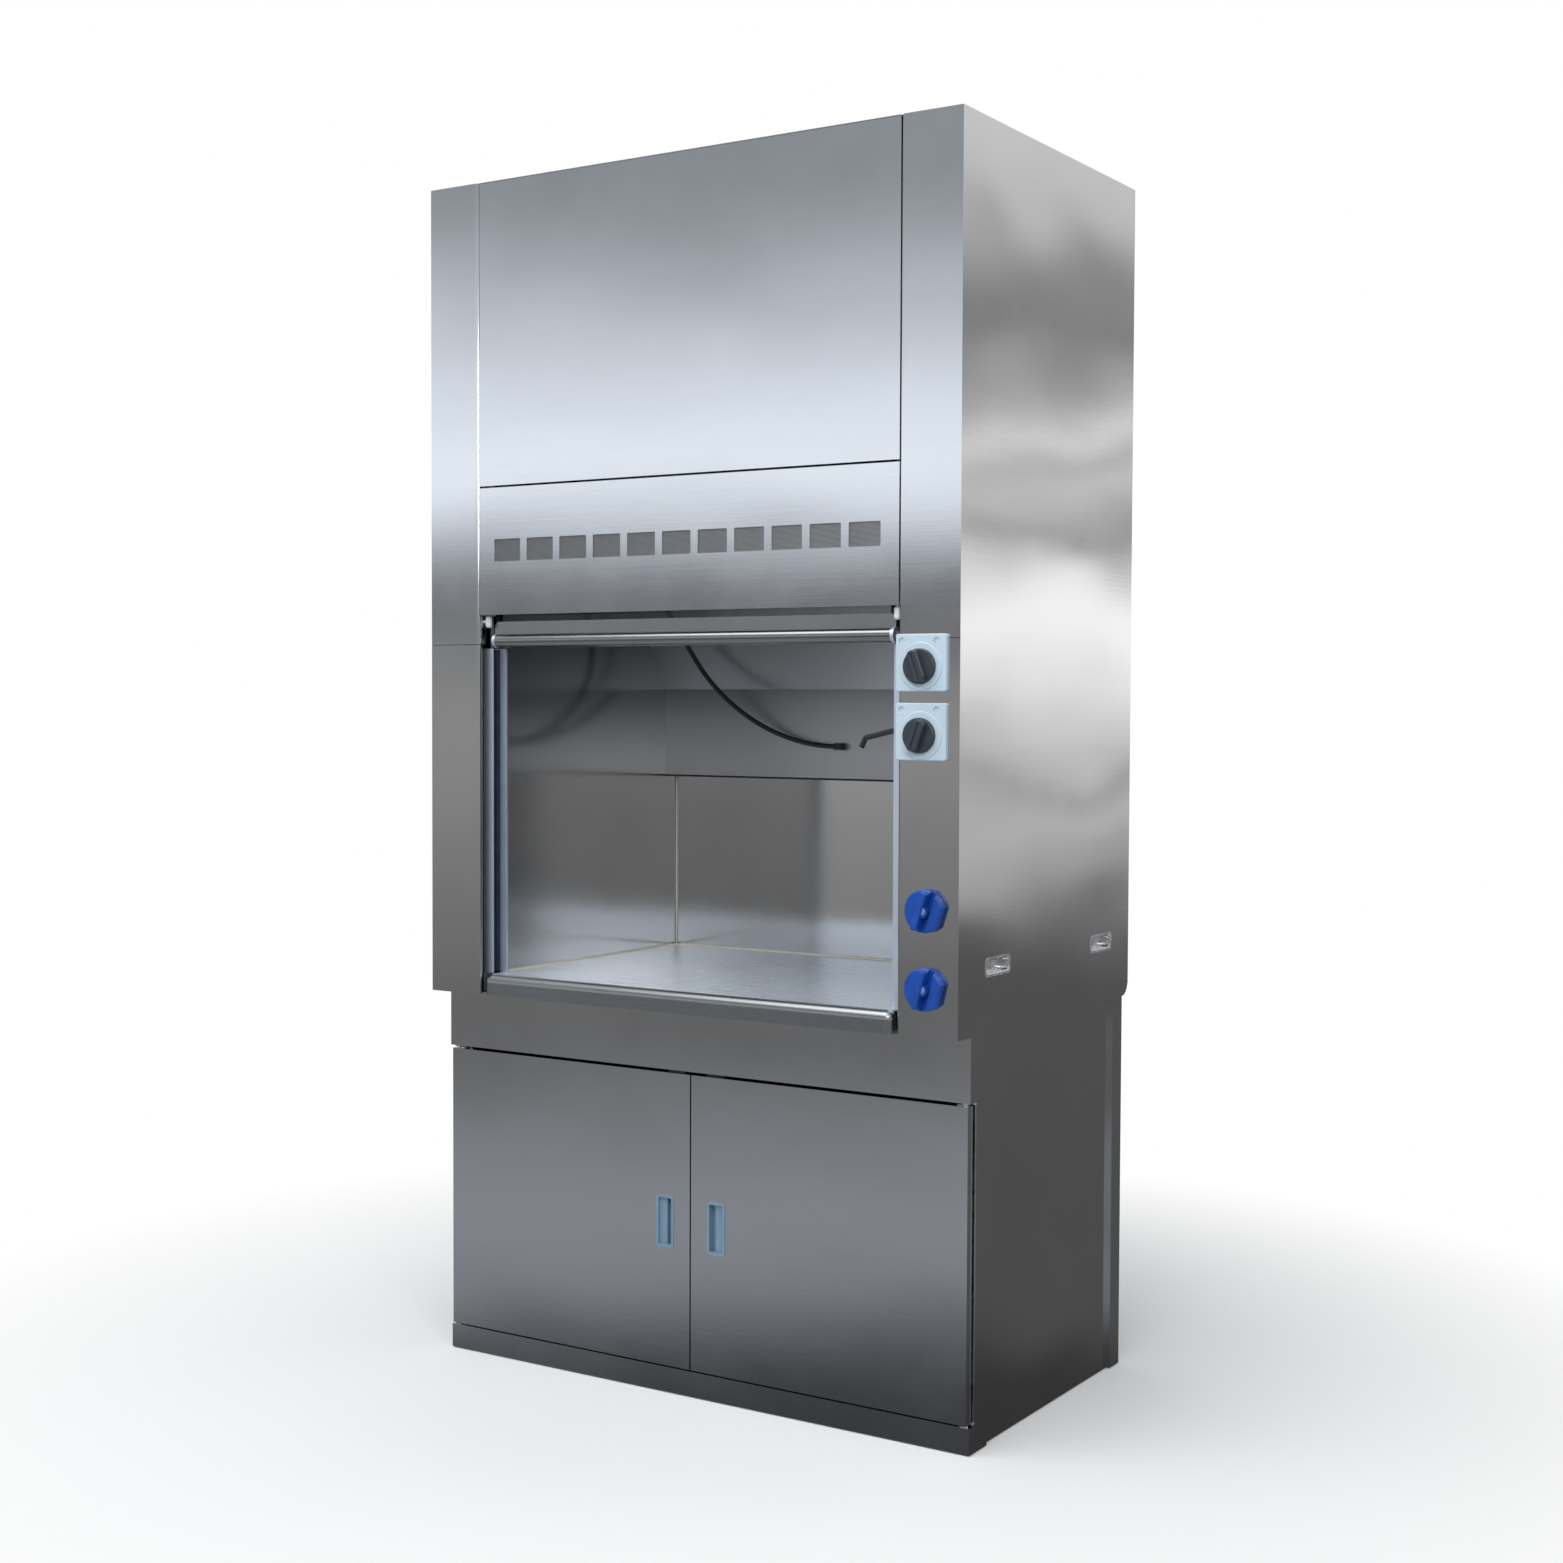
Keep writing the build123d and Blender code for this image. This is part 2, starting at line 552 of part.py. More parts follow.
def switch_knob(z, tilt):
    """A round skirt with a raised, grooved bar across it, on a stem."""
    skirt = rod_y(SWITCH_KNOB_RADIUS, SWITCH_X, -18, DIAL_FACE - 0.3, z)
    skirt = fillet(skirt.edges().sort_by(Axis.Y)[0], 2.5)
    grip = block(SWITCH_X - 11, SWITCH_X + 11, -KNOB_REACH, -17, z - 29, z + 29)
    grip = fillet(grip.edges().filter_by(Axis.Y), 10.0)
    grip = fillet(grip.faces().sort_by(Axis.Y)[0].edges(), 3.0)
    grip -= block(SWITCH_X - 2, SWITCH_X + 2, -KNOB_REACH - 1, -KNOB_REACH + 2, z - 24, z + 24)
    grip = grip.rotate(Axis((SWITCH_X, 0, z), (0, 1, 0)), tilt)
    return skirt + grip + rod_y(PIVOT_RADIUS, SWITCH_X, -12, -3, z)


def valve_knob(z, tilt):
    """A round plastic knob with one flat, a raised wing beside a groove, and a hub on its stem."""
    skirt = rod_y(VALVE_KNOB_RADIUS, VALVE_X, -16, -1, z)
    skirt -= block(VALVE_X + 33, VALVE_X + 60, -40, 0, z - 60, z + 60)
    skirt = chamfer(skirt.faces().sort_by(Axis.Y)[0].edges(), 3.5)
    wing = block(VALVE_X - 9, VALVE_X + 3, -KNOB_REACH, -15, z - 35, z + 35)
    wing = fillet(wing.edges().filter_by(Axis.Y), 5.0)
    wing = fillet(wing.faces().sort_by(Axis.Y)[0].edges(), 3.0)
    head = skirt - block(VALVE_X + 3, VALVE_X + 14, -20, -7, z - 60, z + 60) + wing
    head += rod_y(10, VALVE_X + 2, -24, -6, z)
    head = head.rotate(Axis((VALVE_X, 0, z), (0, 1, 0)), tilt)
    return head + rod_y(5, VALVE_X, -2, 30, z)


def valves():
    """The gas valves behind the post, with the knobs, and the two outlets they feed."""
    bodies = []
    for name, z, tilt in zip(("upper", "lower"), VALVE_Z, VALVE_TILT):
        save(f"{name}_valve_knob", valve_knob(z, tilt))
        body = rod_y(18, VALVE_X, SHEET, 60, z) + rod_z(10, VALVE_X, 45, z, z + 34)
        bodies.append(body - rod_y(5 + BORE_CLEARANCE, VALVE_X, 0, 32, z))
    save_group("valve_bodies", bodies)
    upper_spout = bent_tube(upper_outlet_route(), 5.0, [18, 18, 14, 12, 6])
    lower_spout = bent_tube(lower_outlet_route(), 5.0, [18, 18, 18, 12])
    save_group("service_outlets", [upper_spout, lower_spout])


def upper_outlet_wall():
    """Where the upper outlet passes the right liner."""
    return (LINER_X, 100.0, 1290.0)


def lower_outlet_wall():
    """Where the lower outlet passes the right liner."""
    return (LINER_X, 330.0, 1150.0)


def upper_outlet_route():
    """From the upper valve, up the post and through the liner to the visible black spout."""
    _, depth, z = upper_outlet_wall()
    return [(VALVE_X, 45, VALVE_Z[0] + 34), (VALVE_X, 45, 1200), (VALVE_X, depth, 1230),
            (VALVE_X, depth, z), (LINER_X, depth, z), (354, depth, 1266), (346, depth, 1249)]


def lower_outlet_route():
    """From the lower valve, back along the cavity and through the liner to the rear spout."""
    _, depth, z = lower_outlet_wall()
    return [(VALVE_X, 45, VALVE_Z[1] + 34), (VALVE_X, 45, VALVE_Z[1] + 65),
            (VALVE_X, depth, VALVE_Z[1] + 65), (VALVE_X, depth, z), (385, depth, z),
            (385, depth, z - 26)]


# ---- Base cabinet ----
def base_shell():
    inset = BASE_HALF - 7.5
    post_front = 76.5
    outline = [(560, post_front), (BASE_HALF, post_front), (BASE_HALF, 125), (inset, 125),
               (inset, 662), (BASE_HALF, 662), (BASE_HALF, 706)]
    side = folded_plan(outline, FOOT_GAP, HOOD_BOTTOM)
    save("base_right_side", side)
    save("base_left_side", mirrored(side))
    back_half = BASE_HALF - SHEET
    save("base_back_panel", block(-back_half, back_half, 704.5, 706, FOOT_GAP, HOOD_BOTTOM))
    floor_half = inset - SHEET
    floor = block(-floor_half, floor_half, 78, 704.5, CABINET_FLOOR - SHEET, CABINET_FLOOR)
    floor += block(-BASE_HALF, BASE_HALF, DOOR_FACE + 3, post_front, CABINET_FLOOR - SHEET, CABINET_FLOOR)
    floor += block(-558, 558, 76, 79, CABINET_FLOOR - SHEET, CABINET_FLOOR)
    toe_front = DOOR_FACE + 3
    floor += block(-BASE_HALF, BASE_HALF, toe_front, toe_front + SHEET, FOOT_GAP, CABINET_FLOOR)
    for side in (-1, 1):
        edge = sorted((side * BASE_HALF, side * (BASE_HALF - SHEET)))
        floor += block(*edge, toe_front, post_front, FOOT_GAP, CABINET_FLOOR)
    save("base_floor", floor)
    apron = block(-BASE_HALF, BASE_HALF, DOOR_FACE, DOOR_FACE + SHEET, APRON_BOTTOM, HOOD_BOTTOM)
    apron += block(-BASE_HALF, BASE_HALF, DOOR_FACE, post_front, APRON_BOTTOM, APRON_BOTTOM + SHEET)
    apron += block(-555, 555, DOOR_FACE, 100, APRON_BOTTOM, APRON_BOTTOM + SHEET)
    for side in (-1, 1):
        edge = sorted((side * BASE_HALF, side * (BASE_HALF - SHEET)))
        apron += block(*edge, DOOR_FACE, post_front, APRON_BOTTOM, HOOD_BOTTOM)
    save("apron_panel", apron)


def base_hardware():
    """Levelling feet, door pivots and magnetic catches."""
    feet = []
    for x in (-540, 540):
        for depth in (125, 655):
            foot = rod_z(22, x, depth, 0, 8)
            feet.append(foot + rod_z(6, x, depth, 7, CABINET_FLOOR - SHEET))
    save_group("levelling_feet", feet)
    pins = []
    depth = DOOR_FACE + DOOR_THICKNESS / 2
    for x in (-PIVOT_X, PIVOT_X):
        pins.append(rod_z(8, x, depth, CABINET_FLOOR, 52.5) + rod_z(PIVOT_RADIUS, x, depth, 52, 70))
        pins.append(rod_z(8, x, depth, APRON_BOTTOM - 2.5, APRON_BOTTOM)
                    + rod_z(PIVOT_RADIUS, x, depth, APRON_BOTTOM - 20, APRON_BOTTOM - 2))
    save_group("door_pivot_pins", pins)
    behind = DOOR_FACE + DOOR_THICKNESS + 0.5
    catches = [block(x - 20, x + 20, behind, behind + 20, APRON_BOTTOM - 20, APRON_BOTTOM)
               for x in (-45, 45)]
    save_group("magnetic_catches", catches)


def door_pieces():
    """The right-hand door's pan, liner and flush pull."""
    back = DOOR_FACE + DOOR_THICKNESS
    pan = block(DOOR_SPLIT, DOOR_EDGE, DOOR_FACE, back - SHEET, DOOR_BOTTOM, DOOR_TOP)
    pan -= block(DOOR_SPLIT + SHEET, DOOR_EDGE - SHEET, DOOR_FACE + SHEET, back,
                 DOOR_BOTTOM + SHEET, DOOR_TOP - SHEET)
    for z0, z1 in ((DOOR_BOTTOM, DOOR_BOTTOM + 22), (DOOR_TOP - 22, DOOR_TOP)):
        pan += block(PIVOT_X - 10, DOOR_EDGE - 1, DOOR_FACE + 1, back - SHEET, z0, z1)
    pan -= block(PULL_X - 17.5, PULL_X + 17.5, 50, 60, PULL_CUP_Z - 47.5, PULL_CUP_Z + 47.5)
    depth = DOOR_FACE + DOOR_THICKNESS / 2
    for z0, z1 in ((DOOR_BOTTOM - 1, 74), (APRON_BOTTOM - 23, DOOR_TOP + 1)):
        pan -= rod_z(PIVOT_RADIUS + BORE_CLEARANCE, PIVOT_X, depth, z0, z1)
    liner = block(DOOR_SPLIT, DOOR_EDGE, back - SHEET, back, DOOR_BOTTOM, DOOR_TOP)
    cup = block(PULL_X - 20.5, PULL_X + 20.5, DOOR_FACE - 1.2, DOOR_FACE, PULL_CUP_Z - 51, PULL_CUP_Z + 51)
    cup = fillet(cup.edges().filter_by(Axis.Y), 8.0)
    cup += block(PULL_X - 17, PULL_X + 17, DOOR_FACE - 1, DOOR_FACE + 14, PULL_CUP_Z - 47, PULL_CUP_Z + 47)
    for inner_edge, floor_depth in ((PULL_X + 15, 3.5), (PULL_X - 3, 12.5)):
        cup -= block(PULL_X - 15, inner_edge, DOOR_FACE - 2, DOOR_FACE + floor_depth,
                     PULL_CUP_Z - 45, PULL_CUP_Z + 45)
    return {"door_pan": pan, "door_liner": liner, "door_pull": cup}


def doors():
    for name, piece in door_pieces().items():
        save(f"right_{name}", piece)
        save(f"left_{name}", mirrored(piece))


os.makedirs("parts", exist_ok=True)
side_panels()
post_covers()
roof_and_back()
exhaust_duct()
front_panels()
worktop()
liners()
chamber_ceiling()
baffles()
lamp()
lamp_cable()
sash()
sash_guides()
sash_bumpers()
tracks()
belts()
counterbalance()
switch_boxes()
valves()
base_shell()
base_hardware()
doors()
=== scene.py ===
import json
import math
import bmesh
import bpy
from mathutils import Matrix, Vector


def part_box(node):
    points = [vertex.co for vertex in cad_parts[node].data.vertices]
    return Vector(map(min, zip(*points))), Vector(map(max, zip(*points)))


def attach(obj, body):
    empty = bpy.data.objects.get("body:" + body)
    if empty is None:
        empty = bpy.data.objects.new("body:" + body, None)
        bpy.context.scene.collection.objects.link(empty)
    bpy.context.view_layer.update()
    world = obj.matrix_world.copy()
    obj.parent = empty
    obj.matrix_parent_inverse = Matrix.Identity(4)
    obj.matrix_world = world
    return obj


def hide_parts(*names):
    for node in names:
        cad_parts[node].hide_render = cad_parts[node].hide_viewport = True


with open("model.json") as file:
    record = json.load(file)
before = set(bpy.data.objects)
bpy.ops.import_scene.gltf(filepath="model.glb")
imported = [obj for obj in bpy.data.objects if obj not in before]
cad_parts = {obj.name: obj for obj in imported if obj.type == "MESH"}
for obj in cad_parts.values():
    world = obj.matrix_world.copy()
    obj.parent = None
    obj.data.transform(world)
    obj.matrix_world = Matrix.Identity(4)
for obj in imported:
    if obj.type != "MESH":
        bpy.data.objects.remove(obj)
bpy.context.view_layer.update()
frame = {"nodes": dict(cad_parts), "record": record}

# -------------------------------------------------------------- places worked out from the frame, in metres
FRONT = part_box("right_post_lower_cover")[0].y
WORKTOP_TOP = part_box("worktop")[1].z
JOINTS = {joint["name"]: joint for joint in frame["record"]["behaviour"]["joints"]}


# ---------------------------------------------------------------- node helpers
class Nodes:
    """A small wrapper that makes and links shader nodes."""

    def __init__(self, tree):
        self.tree = tree
        self.tree.nodes.clear()

    def add(self, kind, inputs=None, **settings):
        node = self.tree.nodes.new(kind)
        for name, value in settings.items():
            setattr(node, name, value)
        for name, value in (inputs or {}).items():
            if isinstance(value, bpy.types.NodeSocket):
                self.tree.links.new(value, node.inputs[name])
            else:
                node.inputs[name].default_value = value
        return node

    def math(self, operation, first, second=0.0):
        return self.add("ShaderNodeMath", {0: first, 1: second}, operation=operation).outputs[0]

    def ramp(self, factor, stops):
        """A colour ramp through (place, grey or colour) stops given in rising order."""
        node = self.add("ShaderNodeValToRGB", {"Fac": factor})
        elements = node.color_ramp.elements
        for _ in range(len(stops) - 2):
            elements.new(0.5)
        for element, (position, colour) in zip(elements, stops):
            element.position = position
            element.color = grey(colour) if isinstance(colour, float) else (*colour, 1.0)
        return node.outputs["Color"]

    def mix(self, factor, first, second):
        """Two colours mixed; sockets 6 and 7 are a Mix node's colour inputs and 2 its colour output."""
        return self.add("ShaderNodeMix", {0: factor, 6: first, 7: second}, data_type="RGBA").outputs[2]

    def noise(self, vector, scale, detail=2.0, roughness=0.5):
        node = self.add("ShaderNodeTexNoise", {"Vector": vector, "Scale": scale, "Detail": detail,
                                               "Roughness": roughness})
        return node.outputs["Fac"]

    def stretched(self, scale):
        """Object coordinates stretched by a factor along each axis."""
        place = self.add("ShaderNodeTexCoord").outputs["Object"]
        return self.add("ShaderNodeMapping", {"Vector": place, "Scale": scale}).outputs["Vector"]

    def separated(self, vector):
        return self.add("ShaderNodeSeparateXYZ", {"Vector": vector}).outputs

    def ranged(self, value, from_min, from_max, to_min=0.0, to_max=1.0):
        """A value carried from one range to another and held within it."""
        node = self.add("ShaderNodeMapRange", {"Value": value, "From Min": from_min, "From Max": from_max,
                                               "To Min": to_min, "To Max": to_max}, clamp=True)
        return node.outputs["Result"]

    def bump(self, height, strength, distance, normal=None):
        inputs = {"Height": height, "Strength": strength, "Distance": distance}
        if normal is not None:
            inputs["Normal"] = normal
        return self.add("ShaderNodeBump", inputs).outputs["Normal"]


def grey(value):
    return (value, value, value, 1.0)


def new_material(name):
    material = bpy.data.materials.new(name)
    material.use_nodes = True
    return material, Nodes(material.node_tree)


def finish_material(material, nodes, **inputs):
    """A Principled surface with these inputs, wired to the output."""
    sockets = {name.replace("_", " "): value for name, value in inputs.items()}
    shader = nodes.add("ShaderNodeBsdfPrincipled", sockets)
    nodes.add("ShaderNodeOutputMaterial", {"Surface": shader.outputs["BSDF"]})
    return material


# ---------------------------------------------------------------- materials
def spread(nodes, value, low, high):
    """A noise value, which stays mostly between 0.3 and 0.7, spread over a range."""
    return nodes.ranged(value, 0.3, 0.7, low, high)


# Heights over which the painted shade comes in towards the top of the chamber, and its brownish colour.
SHADE_HEIGHTS = (1.28, 1.52)
SHADE_BROWN = (0.060, 0.052, 0.044)


def brushed_steel(name, grain="X", light=0.62, dark=0.57, roughness=0.13, waves=0.002, wave_scale=1.7,
                  top_shade=0.0):
    """Stainless sheet: fine grain along one axis, faint oil-canning, smudges and, if asked, painted shade: a
    brownish darkening towards the top.
    """
    material, nodes = new_material(name)
    fine = nodes.noise(nodes.stretched([4.0 if axis == grain else 2600.0 for axis in "XYZ"]), 1.0, 2.0)
    streaks = nodes.noise(nodes.stretched([1.5 if axis == grain else 620.0 for axis in "XYZ"]), 1.0, 3.0)
    place = nodes.stretched((1.0, 1.0, 1.0))
    smudges = nodes.noise(place, 2.6, 6.0, 0.6)
    handling = nodes.noise(place, 21.0, 4.0, 0.7)
    tone = nodes.ramp(smudges, [(0.3, dark), (0.7, light)])
    tone = nodes.mix(spread(nodes, streaks, 0.0, 0.07), tone, (dark * 0.8, dark * 0.81, dark * 0.83, 1.0))
    # Painted shade: above these heights the colour darkens to brown, as the top of the chamber lies in
    # shade.
    if top_shade:
        height = nodes.separated(place)["Z"]
        ragged = nodes.math("ADD", height, nodes.math("MULTIPLY", smudges, 0.12))
        upper = nodes.ranged(ragged, *SHADE_HEIGHTS, 0.0, top_shade)
        tone = nodes.mix(upper, tone, (*SHADE_BROWN, 1.0))
    gloss = nodes.math("ADD", spread(nodes, smudges, roughness - 0.015, roughness + 0.02),
                       spread(nodes, nodes.math("MULTIPLY", fine, handling), -0.01, 0.03))
    canning = nodes.noise(nodes.stretched((1.0, 1.0, 1.5)), wave_scale, 1.0, 0.4)
    sheet = nodes.bump(canning, 1.0, waves)
    normal = nodes.bump(nodes.math("ADD", fine, streaks), 0.13, 0.00006, sheet)
    return finish_material(material, nodes, Base_Color=tone, Metallic=1.0, Roughness=gloss, Normal=normal)


def worktop_steel(name):
    """Stainless worktop with a painted highlight on its level face: a pale, less metallic sheen that makes
    the top lighter.
    """
    material, nodes = new_material(name)
    place = nodes.stretched((1.0, 1.0, 1.0))
    normal = nodes.add("ShaderNodeNewGeometry").outputs["Normal"]
    level = nodes.ranged(nodes.separated(normal)["Z"], 0.85, 0.99)
    wear_and_sheen = nodes.noise(place, 2.2, 2.0, 0.4)
    # Painted highlight: upward faces turn pale and less metallic, so the worktop's top reads light.
    painted_sheen = nodes.math("MULTIPLY", level, spread(nodes, wear_and_sheen, 0.75, 1.0))
    steel = nodes.ramp(wear_and_sheen, [(0.3, (0.30, 0.31, 0.32)), (0.7, (0.35, 0.36, 0.37))])
    tone = nodes.mix(painted_sheen, steel, (0.76, 0.83, 0.92, 1.0))
    sheen = nodes.math("SUBTRACT", 1.0, nodes.math("MULTIPLY", painted_sheen, 0.45))
    brushing = nodes.noise(nodes.stretched((4.0, 900.0, 900.0)), 1.0, 2.0)
    gloss = nodes.math("ADD", spread(nodes, wear_and_sheen, 0.24, 0.28), spread(nodes, brushing, 0.0, 0.05))
    return finish_material(material, nodes, Base_Color=tone, Metallic=sheen, Roughness=gloss)


def aluminium(name, colour, roughness):
    """Satin anodised extrusion with faint lengthwise die lines."""
    material, nodes = new_material(name)
    lines = nodes.noise(nodes.stretched((1400.0, 1400.0, 2.0)), 1.0, 2.0)
    patches = nodes.noise(nodes.stretched((1.0, 1.0, 1.0)), 6.0, 4.0)
    tone = nodes.ramp(patches, [(0.3, [part * 0.9 for part in colour]), (0.75, list(colour))])
    gloss = spread(nodes, lines, roughness - 0.05, roughness + 0.07)
    return finish_material(material, nodes, Base_Color=tone, Metallic=1.0, Roughness=gloss,
                           Normal=nodes.bump(lines, 0.06, 0.0004))


def galvanised(name):
    """Zinc-coated sheet with a soft spangle."""
    material, nodes = new_material(name)
    place = nodes.stretched((1.0, 1.0, 1.0))
    cells = nodes.add("ShaderNodeTexVoronoi", {"Vector": place, "Scale": 90.0}).outputs["Color"]
    spangle = nodes.add("ShaderNodeRGBToBW", {"Color": cells}).outputs["Val"]
    tone = nodes.ramp(spangle, [(0.1, (0.42, 0.44, 0.46)), (0.9, (0.60, 0.62, 0.64))])
    gloss = spread(nodes, spangle, 0.38, 0.46)
    return finish_material(material, nodes, Base_Color=tone, Metallic=1.0, Roughness=gloss,
                           Normal=nodes.bump(nodes.noise(place, 140.0, 3.0), 0.08, 0.0006))


def moulded(name, colour, roughness, variation, grain=1600.0):
    """Moulded plastic: slight colour drift, a fine texture and rubbed patches."""
    material, nodes = new_material(name)
    place = nodes.stretched((1.0, 1.0, 1.0))
    drift = nodes.noise(place, 24.0, 4.0, 0.6)
    tone = nodes.ramp(drift, [(0.25, [part * (1 - variation) for part in colour]),
                              (0.8, [min(part * (1 + variation), 1.0) for part in colour])])
    gloss = spread(nodes, nodes.noise(place, 60.0, 5.0), roughness - 0.03, roughness + 0.05)
    return finish_material(material, nodes, Base_Color=tone, Roughness=gloss,
                           Normal=nodes.bump(nodes.noise(place, grain, 2.0), 0.12, 0.0002))


def metal_hardware(name, colour, roughness=0.25):
    """Small bright or cast metal parts with turning marks and tarnish."""
    material, nodes = new_material(name)
    place = nodes.stretched((1.0, 1.0, 1.0))
    tarnish = nodes.noise(place, 45.0, 5.0, 0.65)
    tone = nodes.ramp(tarnish, [(0.3, [part * 0.72 for part in colour]), (0.7, list(colour))])
    gloss = spread(nodes, tarnish, roughness, roughness + 0.12)
    return finish_material(material, nodes, Base_Color=tone, Metallic=1.0, Roughness=gloss,
                           Normal=nodes.bump(nodes.noise(place, 420.0, 3.0), 0.1, 0.0004))


def clear_glass(name, colour=(0.90, 0.96, 0.95), roughness=0.02):
    """Laminated sash glass with faint dust in its roughness."""
    material, nodes = new_material(name)
    dust = nodes.noise(nodes.stretched((1.0, 1.0, 1.0)), 14.0, 6.0, 0.7)
    gloss = spread(nodes, dust, roughness, roughness + 0.07)
    tone = nodes.ramp(dust, [(0.2, [part * 0.98 for part in colour]), (0.9, list(colour))])
    return finish_material(material, nodes, Base_Color=tone, Roughness=gloss, IOR=1.5,
                           Transmission_Weight=1.0)


def vent_sheet(name):
    """Fine perforated sheet: staggered holes painted near-black on grey steel, the dark being painted shade
    in place of openings.
    """
    material, nodes = new_material(name)
    axes = nodes.separated(nodes.add("ShaderNodeTexCoord").outputs["Object"])
    pitch = 0.0042
    across = nodes.math("SINE", nodes.math("MULTIPLY", axes["X"], math.tau / pitch))
    up = nodes.math("SINE", nodes.math("MULTIPLY", axes["Z"], math.tau / pitch))
    holes = nodes.math("ABSOLUTE", nodes.math("MULTIPLY", across, up))
    # Painted shade: the hole spots are coloured near-black for the shade behind a perforation.
    tone = nodes.ramp(holes, [(0.35, (0.30, 0.31, 0.32)), (0.62, (0.04, 0.04, 0.045))])
    return finish_material(material, nodes, Base_Color=tone, Metallic=0.7, Roughness=0.45,
                           Normal=nodes.bump(holes, 0.6, 0.001))


def paint(node, material):
    """Gives a CAD node one material."""
    mesh = frame["nodes"][node].data
    mesh.materials.clear()
    mesh.materials.append(material)


def paint_frame(palette):
    for nodes, material in palette:
        for node in nodes.split():
            paint(node, material)


# ---------------------------------------------------------------- piece helpers
def add_piece(name, mesh, material, body):
    """Links a mesh as a named piece that rides on a body."""
    piece = bpy.data.objects.new(name, mesh)
    bpy.context.scene.collection.objects.link(piece)
    mesh.materials.append(material)
    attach(piece, body)
    return piece


def from_bmesh(name, shape, material, body):
    """A smooth-shaded piece made from a finished shape."""
    mesh = bpy.data.meshes.new(name)
    bmesh.ops.recalc_face_normals(shape, faces=shape.faces)
    shape.to_mesh(mesh)
    shape.free()
    for polygon in mesh.polygons:
        polygon.use_smooth = True
    return add_piece(name, mesh, material, body)


def lathe(shape, profile, origin, axis, segments):
    """Adds a turned solid: (distance along the axis, radius) pairs spun about the axis at the origin."""
    turn = Vector((0, 0, 1)).rotation_difference(Vector(axis)).to_matrix()
    rings = []
    for along, radius in profile:
        ring = []
        for step in range(segments):
            angle = math.tau * step / segments
            spot = Vector((radius * math.cos(angle), radius * math.sin(angle), along))
            ring.append(shape.verts.new(Vector(origin) + turn @ spot))
        rings.append(ring)
    for lower, upper in zip(rings, rings[1:]):
        for step in range(segments):
            after = (step + 1) % segments
            shape.faces.new((lower[step], lower[after], upper[after], upper[step]))
    shape.faces.new(rings[0][::-1])
    shape.faces.new(rings[-1])


def tube_along(name, points, radius, material, body, order=2):
    """A round bead or cord whose NURBS spline has these control points."""
    curve = bpy.data.curves.new(name, "CURVE")
    curve.dimensions = "3D"
    curve.bevel_depth = radius
    curve.bevel_resolution = 5
    curve.resolution_u = 24
    curve.use_fill_caps = True
    spline = curve.splines.new("NURBS")
    spline.points.add(len(points) - 1)
    for control, place in zip(spline.points, points):
        control.co = (*place, 1.0)
    spline.order_u = order
    spline.use_endpoint_u = True
    return add_piece(name, curve, material, body)


# ---------------------------------------------------------------- detail pieces
CABLE_ROUTE = [
    (-0.362, 0.398, 1.736),
    (-0.362, 0.398, 1.650),
    (-0.354, 0.448, 1.552),
    (-0.335, 0.505, 1.462),
    (-0.296, 0.541, 1.376),
    (-0.232, 0.562, 1.312),
    (-0.152, 0.577, 1.265),
    (-0.062, 0.595, 1.238),
    (-0.008, 0.595, 1.238),
]


def lamp_cord():
    """The lamp's black cable; each route point is (x, distance behind the front plane, z)."""
    points = [(x, FRONT + depth, z) for x, depth, z in CABLE_ROUTE]
    cord = tube_along("lamp_cord", points, 0.005, BLACK_RUBBER, "hood", order=3)
    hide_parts("lamp_cable")


def chamber_seals():
    """A pale sealing bead where the liners and the lower baffle stand on the worktop, a finer one up each
    rear corner, and a black bead on the upper baffle's lower edge that is painted shade: it stands in for
    the shade of the slot beneath that edge."""
    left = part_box("left_liner")[1].x
    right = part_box("right_liner")[0].x
    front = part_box("left_liner")[0].y
    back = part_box("lower_baffle")[0].y
    fine_radius = 0.0018
    left += fine_radius
    right -= fine_radius
    back -= fine_radius
    corners = [(left, front, WORKTOP_TOP), (left, back, WORKTOP_TOP), (right, back, WORKTOP_TOP),
               (right, front, WORKTOP_TOP)]
    tube_along("chamber_seal", corners, 0.0035, PALE_SEALANT, "hood")
    # Painted shade: a thin black bead under the upper baffle stands in for the shaded slot there.
    baffle_low, baffle_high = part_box("upper_baffle")
    edge = [(x, baffle_high.y - 0.0006, baffle_low.z) for x in (baffle_low.x, baffle_high.x)]
    tube_along("baffle_slot_shade_trim", edge, 0.0022, BLACK_RUBBER, "hood")
    top = baffle_low.z + 0.01
    for side, x in (("left", left), ("right", right)):
        upright = [(x, back, WORKTOP_TOP), (x, back, top)]
        tube_along(f"{side}_corner_seal", upright, fine_radius, PALE_SEALANT, "hood")


